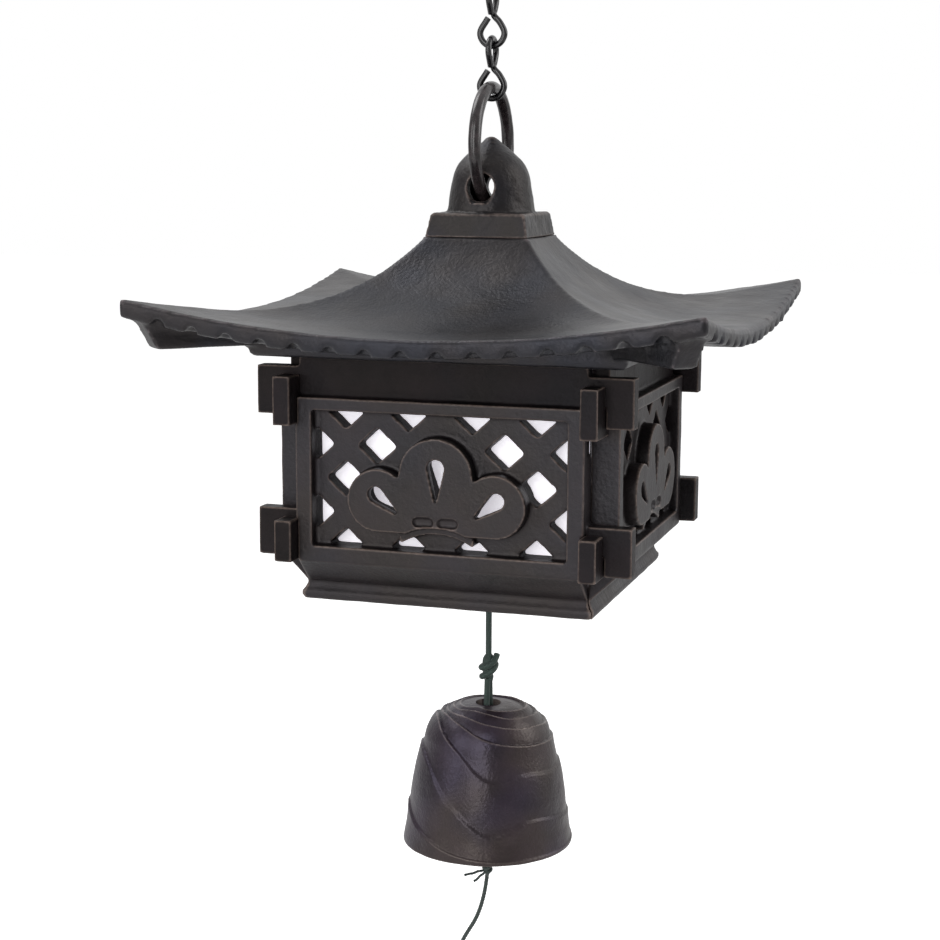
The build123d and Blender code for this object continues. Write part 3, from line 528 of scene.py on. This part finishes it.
def cord_mesh(name, route, thickness, strands, pitch, braided, rounded=0.0, step=0.07):
    """A cord swept along a smooth line, ribbed by braided or twisted strands, its ends rounded if asked."""
    line = smooth_line(route)
    marks = [0.0]
    for before, after in zip(line, line[1:]):
        marks.append(marks[-1] + (after - before).length)
    count = max(8, int(marks[-1] / (step * mm)))
    spots = [i * marks[-1] / count for i in range(count + 1)]
    places = np.array([[np.interp(s, marks, [p[k] for p in line]) for k in range(3)] for s in spots])
    ways = np.gradient(places, axis=0)
    vertices = []
    across = Vector(ways[0]).orthogonal().normalized()
    for s, spot, way in zip(spots, places, ways):
        way = Vector(way).normalized()
        across = (across - way * across.dot(way)).normalized()
        other = way.cross(across)
        near = min(s, marks[-1] - s) / (rounded * mm) if rounded else 1.0
        girth = max(end_girth, 1 - (1 - min(near, 1.0)) ** 2)
        for k in range(cord_sides):
            turn = 2 * pi * k / cord_sides
            lay = 2 * pi * s / (pitch * mm)
            ridge = abs(cos((strands * turn + strands * lay) / 2))
            if braided:
                ridge = max(ridge, abs(cos((strands * turn - strands * lay) / 2)))
            reach = thickness / 2 * mm * (rib_foot + rib_height * ridge) * girth
            vertices.append(Vector(spot) + reach * (cos(turn) * across + sin(turn) * other))
    faces = []
    for i in range(count):
        for k in range(cord_sides):
            a, b = i * cord_sides + k, i * cord_sides + (k + 1) % cord_sides
            faces.append((a, b, b + cord_sides, a + cord_sides))
    faces.append(tuple(reversed(range(cord_sides))))
    faces.append(tuple(range(count * cord_sides, (count + 1) * cord_sides)))
    mesh = bpy.data.meshes.new(name)
    mesh.from_pydata(vertices, [], faces)
    piece = bpy.data.objects.new(name, mesh)
    bpy.context.collection.objects.link(piece)
    return piece, [tuple(p) for p in places]


def cord_fibre(name, dark, pale):
    """Dyed polyester fibre: dark green, with paler strands where they catch the light and a soft sheen."""
    material, shader = new_material(name)
    place = add_node(material, "ShaderNodeTexCoord").outputs["Object"]
    fibres = add_node(
        material, "ShaderNodeTexNoise", {"Vector": place, "Scale": 1 / (hair_size * mm), "Detail": 4.0}
    )
    ridge = add_node(
        material, "ShaderNodeMapRange",
        {
            "Value": add_node(material, "ShaderNodeNewGeometry").outputs["Pointiness"],
            "From Min": 0.42, "From Max": 0.58, "To Min": 0.0, "To Max": 1.0,
        },
    )
    mixed = add_node(
        material, "ShaderNodeMath",
        {0: ridge.outputs["Result"], 1: fibres.outputs["Fac"]}, operation="MULTIPLY",
    )
    tone = add_node(material, "ShaderNodeValToRGB", {"Fac": mixed.outputs["Value"]})
    tone.color_ramp.elements[0].position = 0.1
    tone.color_ramp.elements[0].color = linear(dark)
    tone.color_ramp.elements[1].position = 0.6
    tone.color_ramp.elements[1].color = linear(pale)
    shader.inputs["Roughness"].default_value = 0.65
    shader.inputs["Sheen Weight"].default_value = 0.15
    material.node_tree.links.new(tone.outputs["Color"], shader.inputs["Base Color"])
    return material


green_braid = cord_fibre("dark_green_braid", "#0a1411", "#263f36")
knot_route = [
    (2.1, -0.3, -0.4), (1.7, -1.1, -1.6), (0.8, -1.7, -2.6), (-0.6, -1.7, -3.3), (-1.8, -0.8, -3.8),
    (-1.7, 0.7, -3.9), (-0.4, 1.5, -3.5), (1.1, 1.3, -3.0), (1.9, 0.1, -2.9), (1.5, -1.3, -3.8),
    (0.3, -1.7, -4.8), (-1.0, -1.4, -5.7), (-1.75, -0.3, -6.2), (-1.2, 0.9, -6.2), (0.0, 1.2, -5.8),
    (0.7, 0.6, -6.3), (0.3, 0.1, -7.2),
]


def turned_to_view(route, level):
    """A knot's points, given as seen from the front of the picture, in the part's frame."""
    c, s = cos(view_turn), sin(view_turn)
    return [(x * c - y * s, x * s + y * c, z + level) for x, y, z in route]


bell_cord, cord_line = cord_mesh(
    "cord", [(0, 0, cord_top), (0, 0, -126), (0, 0, -137), (0, 0, -148), (0, 0, cord_foot - 1.2)],
    cord_thickness, *braid,
)
knot_wrap, _ = cord_mesh("knot_wrap", turned_to_view(knot_route, cord_foot), cord_thickness, *braid)
knot_core, _ = cord_mesh(
    "knot_core", [(0, 0, cord_foot + 0.2), (0.1, 0, -161.6), (-0.1, 0, -164), (0, 0, -166.4)],
    2.05 * cord_thickness, 12, 4.8, True, rounded=2.4,
)
top_wrap, _ = cord_mesh(
    "top_knot", turned_to_view([(1.2 * x, 1.2 * y, 0.55 * z) for x, y, z in knot_route[1:]], -111.9),
    cord_thickness, *braid,
)
top_loop, _ = cord_mesh(
    "top_loop",
    [
        (0, -0.75, -112.4), (0, -2.1, -110), (0, -2.2, -107), (0, -2.3, -104.2), (0, -1.2, -102.3),
        (0, 1.2, -102.3), (0, 2.3, -104.2), (0, 2.2, -107), (0, 2.1, -110), (0, 0.75, -112.4),
    ],
    cord_thickness, *braid,
)
crown_loop, _ = cord_mesh(
    "crown_loop",
    [
        (0, -0.8, -166.4), (0, -1.0, -169), (0, -1.2, -172), (0, -1.7, -175), (0, -1.5, -177.5),
        (0, 0, -178.3), (0, 1.5, -177.5), (0, 1.7, -175), (0, 1.2, -172), (0, 1.0, -169), (0, 0.8, -166.4),
    ],
    cord_thickness, *braid,
)
cord_pieces = {
    bell_cord: ["bell_cord"], knot_wrap: ["cord_knot"], knot_core: [], top_wrap: ["cord_top_knot"],
    top_loop: ["cord_top_loop"], crown_loop: ["bell_loop"],
}
for piece, nodes in cord_pieces.items():
    finish_mesh(piece, green_braid, smooth=80)
    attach(piece, "bell")
    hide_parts(*nodes)

# Bell: one thin casting of iron, open below, with a round hole in its crown for the cord.
# Its mould was carved in wavy terraces, each ending above in a small ledge, like contour lines. The skin
# is rubbed lacquer with a brown and violet sheen.
bell_foot = -207.3
bell_height = 35.0
bell_wall = 2.5
bell_mouth = 21.1  # radius
bell_hole = 2.95  # radius
bell_outline = [
    (bell_mouth, 0.0), (20.2, 5.6), (18.9, 15.1), (16.4, 24.5), (14.7, 29.1), (11.7, 32.2), (7.4, 34.3),
    (bell_hole, bell_height),
]
bell_wave = (5.0, 0.2)  # length and height of the skin's unevenness
lap_height = (0.45, 0.8)  # on the wall and on the crown
lap_height_levels = (20, 31)
lap_edge = (0.4, 0.12)  # width of each ledge, on the wall and on the crown
lap_edge_levels = (26, 33)
lap_least = 0.15  # closer edges make no terrace of their own
lap_full = 1.2  # terraces less tall than this stand out less
lap_mean = 0.25
plain_band = 5.0  # over the mouth, where the wall comes back to its outline
# Heights of each terrace's edge over the mouth at every 30 degrees round the bell, from the back.
laps = [
    (4.0, 6.0, 8.5, 9.9, 6.0, 2.5, 1.0, 0.8, 0.8, 1.0, 1.5, 2.5),
    (15.0, 19.0, 23.0, 24.8, 22.2, 13.8, 6.9, 9.8, 8.8, 7.8, 9.5, 12.5),
    (25.5, 28.0, 30.5, 31.7, 30.9, 26.7, 19.9, 20.9, 20.1, 20.5, 21.0, 23.0),
    (29.8, 31.4, 32.3, 32.6, 32.7, 31.6, 29.1, 27.7, 27.1, 26.7, 27.0, 28.2),
    (31.8, 32.6, 33.1, 33.3, 33.4, 33.2, 32.2, 31.2, 30.8, 30.1, 30.3, 31.0),
    (33.3, 33.6, 33.8, 34.0, 34.1, 34.3, 33.9, 33.0, 32.7, 32.3, 32.5, 32.9),
    (34.2, 34.3, 34.4, 34.5, 34.6, 34.8, 34.6, 34.2, 33.9, 33.7, 33.8, 34.0),
]

plain_selection()
bpy.ops.curve.primitive_bezier_curve_add()
profile = bpy.context.object
profile.data.splines.clear()
outer = profile.data.splines.new("BEZIER")
inner_scale = (1 - bell_wall / bell_mouth, 1 - bell_wall / bell_height)
inner_outline = [(max(bell_hole, r * inner_scale[0]), h * inner_scale[1]) for r, h in reversed(bell_outline)]
whole_outline = bell_outline + inner_outline
outer.bezier_points.add(len(whole_outline) - 1)
for point, (r, h) in zip(outer.bezier_points, whole_outline):
    point.co = (r * mm, 0, (bell_foot + h) * mm)
    point.handle_left_type = point.handle_right_type = "AUTO"
for index in (0, len(bell_outline) - 1, len(bell_outline), len(whole_outline) - 1):
    outer.bezier_points[index].handle_left_type = "VECTOR"
    outer.bezier_points[index].handle_right_type = "VECTOR"
outer.use_cyclic_u = True
outer.resolution_u = 22
bpy.ops.object.convert(target="MESH")
bell = bpy.context.object
bell.name = "bell_casting"
bpy.ops.object.mode_set(mode="EDIT")
bpy.ops.mesh.select_all(action="SELECT")
bpy.ops.mesh.spin(steps=240, angle=2 * pi, center=(0, 0, 0), axis=(0, 0, 1))
weld(0.003)


def lap_level(levels, turn):
    """Height of a terrace's edge at an angle, smooth between the heights given at every 30 degrees."""
    spot = (turn / 30) % 12
    k = int(spot)
    t = spot - k
    a, b, c, d = (levels[(k + i) % 12] for i in (-1, 0, 1, 2))
    return b + 0.5 * t * (c - a + t * (2 * a - 5 * b + 4 * c - d + t * (3 * (b - c) + d - a)))


middle_scale = (1 - bell_wall / 2 / bell_mouth, 1 - bell_wall / 2 / bell_height)
heights = [h for _, h in bell_outline]
radii = [r for r, _ in bell_outline]
moves = []
for vertex in bell.data.vertices:
    x, y, z = (c / mm for c in vertex.co)
    height = z - bell_foot
    radius = (x * x + y * y) ** 0.5
    skin = middle_scale[0] * np.interp(height / middle_scale[1], heights, radii, right=0)
    if radius < skin:
        continue
    turn = np.degrees(np.arctan2(y, x)) + 90 - np.degrees(view_turn) + 180
    edge = np.interp(height, lap_edge_levels, lap_edge)
    tall = np.interp(height, lap_height_levels, lap_height)
    levels = [0.0] + [lap_level(heights_round, turn) for heights_round in laps]
    rise = 0.0
    for low, high in zip(levels, levels[1:]):
        gap = high - low
        if gap < lap_least or height < low:
            continue
        climb = min((height - low) / gap, 1)
        past = min(max((height - high) / edge + 0.5, 0), 1)
        rise = max(rise, tall * min(gap / lap_full, 1) * climb * (1 - past * past * (3 - 2 * past)))
    lift = rise - lap_mean * min(height / plain_band, 1)
    moves.append((vertex.index, vertex.normal.copy() * lift * mm))
for index, move in moves:
    bell.data.vertices[index].co += move
bell_skin = bpy.data.textures.new("bell_skin", "CLOUDS")
bell_skin.noise_scale = bell_wave[0] * mm
apply_modifier(bell, "DISPLACE", texture=bell_skin, strength=bell_wave[1] * mm, mid_level=0.5)
# Paler edges: partly rubbed wear, partly painted highlight, stronger on upward-facing edges.
mark_edges(bell)
bell_iron = cast_skin(
    "rubbed_bell_iron", dark="#161011", pale="#261d22", worn_and_highlight="#857a74", wear_and_highlight_range=(0.12, 0.5), grain=0.7,
    sheen=(0.3, 0.42), tints=("#fff0e8", "#e4dcff"), shine=0.46,
)
finish_mesh(bell, bell_iron, smooth=60)
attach(bell, "bell")
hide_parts("bell")

# Clapper: a small round iron bob with a hole, hanging on a thread from the bottom of the cord's loop.
# The thread is three strands of the cord's dyed fibre, hitched to the loop and knotted under the bob.
thread_thickness = 1.0
thread_top = -180.85
thread_foot = -214.6
twist = (3, 2.6, False)  # strands, pitch, braided
whisker = (0.62, 2, 1.6, False)  # thickness, strands, pitch, braided
clapper = cast_copy("clapper", "clapper_bob", voxel=0.3, rounds=4, triangles=60000, swell=(3, 0.2))
finish_mesh(clapper, cast_iron, smooth=60)
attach(clapper, "clapper")
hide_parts("clapper")

green_thread = cord_fibre("dark_green_thread", "#0f1513", "#2b3c37")
clapper_thread, thread_line = cord_mesh(
    "clapper_string", [(0, 0, thread_top), (0, 0, -190), (0, 0, -199), (0, 0, -207), (0, 0, thread_foot)],
    thread_thickness, *twist,
)
hitch, _ = cord_mesh(
    "hitch",
    [
        (0, 0, -181.6), (0.8, 0.3, -181.2), (0.6, 0.9, -180.4), (-0.5, 0.9, -179.9), (-0.9, 0, -180.3),
        (-0.5, -0.9, -180.8), (0.6, -0.8, -180.3), (0.8, 0.2, -179.5), (0.1, 0.6, -179.3),
    ],
    thread_thickness * 0.9, *twist,
)
tie_route = [
    (0, 0, -214.2), (0.9, -0.3, -214.9), (0.5, -0.95, -215.4), (-0.6, -0.85, -215.6), (-0.95, 0.1, -215.7),
    (-0.4, 0.95, -215.9), (0.7, 0.8, -216.0), (0.9, -0.2, -216.3), (0.2, -0.7, -216.8), (0, 0, -217.5),
]
tie, _ = cord_mesh("tie_knot", tie_route, thread_thickness, *twist)
whisker_long, _ = cord_mesh(
    "whisker_long",
    turned_to_view(
        [
            (0, -0.6, 0), (-1.3, -0.8, -0.5), (-2.4, -0.7, -0.6), (-3.6, -0.8, -1.2), (-4.6, -0.7, -1.3),
            (-5.8, -0.7, -1.7),
        ],
        -215.8,
    ),
    *whisker,
)
whisker_short, _ = cord_mesh(
    "whisker_short",
    turned_to_view(
        [(0, -0.7, 0), (-0.9, -0.9, -1.1), (-1.9, -0.8, -1.7), (-2.6, -0.9, -2.7), (-3.4, -0.8, -3.1)],
        -215.9,
    ),
    *whisker,
)
thread_pieces = {
    clapper_thread: ["clapper_thread"], hitch: ["thread_hitch"], tie: ["thread_knot"], whisker_long: [],
    whisker_short: [],
}
for piece, nodes in thread_pieces.items():
    finish_mesh(piece, green_thread, smooth=80)
    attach(piece, "clapper")
    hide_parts(*nodes)

# Wind thread: the same thread below the knot, slack and bent to one side before it comes back to the strip.
# The twisted fibre keeps a bend from its reel, and the light strip doesn't pull it straight.
corner_tips = -69.7
thread_route = [
    (0.0, 147.6), (-0.35, 150.6), (-0.95, 153.8), (-1.8, 157.0), (-3.1, 160.3), (-5.0, 163.5), (-6.7, 166.6),
    (-7.2, 169.9), (-6.1, 173.1), (-3.9, 175.6), (-1.7, 178.0), (-0.5, 180.9), (0.0, 184.0),
]
wind_thread, wind_line = cord_mesh(
    "wind_string", [(x, 0, corner_tips - depth) for x, depth in thread_route], thread_thickness, *twist
)
finish_mesh(wind_thread, green_thread, smooth=80)
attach(wind_thread, "thread")
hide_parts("wind_thread")

# Strip: a plain slip of cream handmade paper that catches the wind, with a punched hole for the thread.
# It hangs with a slight curl, and the thread is looped through the hole and knotted above it.
strip_width = 60.0
strip_length = 124.0
strip_top = -257.0
strip_thickness = 0.4
strip_hole = 4.0
strip_hole_inset = 5.0
strip_curl = 2.2  # of the long edges at the foot
strip_bow = 1.4
strip_bow_turn = 3.2
strip_paper = paper_sheet("cream_strip_paper", "#ece6d8", "#ddd6c6", 0.0)
plain_selection()
bpy.ops.mesh.primitive_grid_add(x_subdivisions=48, y_subdivisions=100, size=1.0)
strip = bpy.context.object
strip.name = "wind_strip"
strip.data.transform(Matrix.Diagonal((strip_width * mm, strip_length * mm, 1, 1)))
strip.data.transform(Matrix.Rotation(pi / 2, 4, "X"))
strip.data.transform(Matrix.Translation((0, 0, (strip_top - strip_length / 2) * mm)))
apply_modifier(strip, "SOLIDIFY", thickness=strip_thickness * mm, offset=0)
plain_selection()
bpy.ops.mesh.primitive_cylinder_add(
    vertices=40, radius=strip_hole / 2 * mm, depth=6 * mm, rotation=(pi / 2, 0, 0),
    location=(0, 0, (strip_top - strip_hole_inset) * mm),
)
punch = bpy.context.object
bpy.ops.object.transform_apply(location=True, rotation=True, scale=True)
apply_modifier(strip, "BOOLEAN", object=punch, operation="DIFFERENCE", solver="EXACT")
bpy.data.objects.remove(punch)
for vertex in strip.data.vertices:
    across = vertex.co.x / (strip_width / 2 * mm)
    down = (strip_top * mm - vertex.co.z) / (strip_length * mm)
    curl = strip_curl * across * across * down + strip_bow * sin(strip_bow_turn * down) * down
    vertex.co.y += curl * mm
finish_mesh(strip, strip_paper, smooth=40)
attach(strip, "strip")
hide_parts("paper_strip")
strip_tie, _ = cord_mesh(
    "strip_tie",
    [
        (0, 0, -253.6), (0.9, -0.4, -254.2), (0.4, -1.2, -254.7), (-0.9, -0.9, -254.9), (-1.1, 0.4, -255.1),
        (-0.2, 1.2, -255.3), (0.9, 0.8, -255.5), (0.7, -0.3, -255.9), (0.0, -1.15, -257.0),
        (0, -1.25, -258.6), (0, -1.0, -260.2), (0, 0.0, -260.6), (0, 1.0, -260.2), (0, 1.25, -258.6),
        (0, 1.15, -257.0), (0, 0.4, -255.6),
    ],
    thread_thickness, *twist,
)
finish_mesh(strip_tie, green_thread, smooth=80)
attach(strip_tie, "strip")
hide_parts("strip_knot")

# Studio: a pale floor well below the strip, and a white room whose front and left are dimmer in reflections.
# Soft boxes light the part from the front, from the front left and from both sides.
floor_level = -0.42
floor_glow = 0.58  # seen by the camera only
room_level = 0.48  # for the light that falls on the part
front_level = 0.38  # in reflections
left_level = 0.4  # in reflections
lamp_target = Vector((0, 0, -0.12))
studio_paper, shader = new_material("studio_floor")
rays = add_node(studio_paper, "ShaderNodeLightPath")
glow = add_node(
    studio_paper, "ShaderNodeMath",
    {0: rays.outputs["Is Camera Ray"], 1: floor_glow}, operation="MULTIPLY",
)
grain = add_node(
    studio_paper, "ShaderNodeTexNoise",
    {"Vector": add_node(studio_paper, "ShaderNodeTexCoord").outputs["Object"], "Scale": 400.0},
)
tone = add_node(studio_paper, "ShaderNodeValToRGB", {"Fac": grain.outputs["Fac"]})
tone.color_ramp.elements[0].color = linear("#f4f4f4")
tone.color_ramp.elements[1].color = linear("#fafafa")
shader.inputs["Roughness"].default_value = 0.9
shader.inputs["Emission Color"].default_value = (1, 1, 1, 1)
studio_paper.node_tree.links.new(tone.outputs["Color"], shader.inputs["Base Color"])
studio_paper.node_tree.links.new(glow.outputs["Value"], shader.inputs["Emission Strength"])
plain_selection()
bpy.ops.mesh.primitive_plane_add(size=12, location=(0, 0, floor_level))
floor = bpy.context.object
floor.name = "floor"
floor.data.materials.append(studio_paper)

world = bpy.data.worlds.new("white_room")
bpy.context.scene.world = world
world.use_nodes = True
rays = add_node(world, "ShaderNodeLightPath")
straight = add_node(
    world, "ShaderNodeMath",
    {0: rays.outputs["Is Camera Ray"], 1: rays.outputs["Is Transmission Ray"]}, operation="MAXIMUM",
)
facing = add_node(
    world, "ShaderNodeSeparateXYZ", {"Vector": add_node(world, "ShaderNodeTexCoord").outputs["Generated"]}
)
room = add_node(
    world, "ShaderNodeMapRange",
    {"Value": facing.outputs["Y"], "From Min": -0.9, "From Max": 0.1, "To Min": front_level, "To Max": 1.0},
)
left_side = add_node(
    world, "ShaderNodeMapRange",
    {"Value": facing.outputs["X"], "From Min": -1.0, "From Max": -0.6, "To Min": left_level, "To Max": 1.0},
)
shown = add_node(
    world, "ShaderNodeMath",
    {0: room.outputs["Result"], 1: left_side.outputs["Result"]}, operation="MULTIPLY",
)
mirrored = add_node(
    world, "ShaderNodeMix",
    {"Factor": rays.outputs["Is Glossy Ray"], "A": room_level, "B": shown.outputs["Value"]},
    data_type="FLOAT",
)
strength = add_node(
    world, "ShaderNodeMix",
    {"Factor": straight.outputs["Value"], "A": mirrored.outputs["Result"], "B": 1.0}, data_type="FLOAT",
)
background = world.node_tree.nodes["Background"]
background.inputs["Color"].default_value = (1, 1, 1, 1)
world.node_tree.links.new(strength.outputs["Result"], background.inputs["Strength"])

soft_boxes = (
    ("key_box", (-0.08, -1.2, 0.2), (0.5, 1.1), 7.2),
    ("fill_box", (-0.85, -0.9, 0.25), (0.5, 0.9), 4.6),
    ("left_box", (-0.95, 0.15, 1.1), (0.7, 0.9), 9.0),
    ("side_box", (1.1, 0.25, 0.45), (0.6, 0.9), 6.0),
)
for name, spot, size, power in soft_boxes:
    light = bpy.data.lights.new(name, "AREA")
    light.shape = "RECTANGLE"
    light.size, light.size_y = size
    light.energy = power
    lamp = bpy.data.objects.new(name, light)
    bpy.context.collection.objects.link(lamp)
    lamp.location = spot
    aim = lamp_target - Vector(spot)
    lamp.rotation_euler = aim.to_track_quat("-Z", "Y").to_euler()

# Camera: the photograph's place, turned to the right of the lantern's front and a little above it.
camera_rise = radians(9.372)
camera_roll = radians(0.244)
camera_distance = 462.313
target_drop = 44.399  # of the point looked at, below the corner tips
target_aside = 4.803
focal_length = 1898.302  # in pixels of the picture
picture_width = 940
sensor_width = 36.0
right = Vector((cos(view_turn), sin(view_turn), 0))
back = Vector((sin(view_turn) * cos(camera_rise), -cos(view_turn) * cos(camera_rise), sin(camera_rise)))
up = back.cross(right)
target = Vector((0, 0, corner_tips - target_drop)) - target_aside * right
eye = (target + camera_distance * back) * mm
rolled_right = right * cos(camera_roll) + up * sin(camera_roll)
rolled_up = up * cos(camera_roll) - right * sin(camera_roll)
camera = bpy.data.objects.new("camera", bpy.data.cameras.new("camera"))
bpy.context.collection.objects.link(camera)
camera.data.sensor_width = sensor_width
camera.data.lens = focal_length / picture_width * sensor_width
camera.data.clip_start = 0.01
camera.matrix_world = Matrix.Translation(eye) @ Matrix((rolled_right, rolled_up, back)).transposed().to_4x4()
bpy.context.scene.camera = camera
bpy.context.scene.view_settings.view_transform = "Standard"
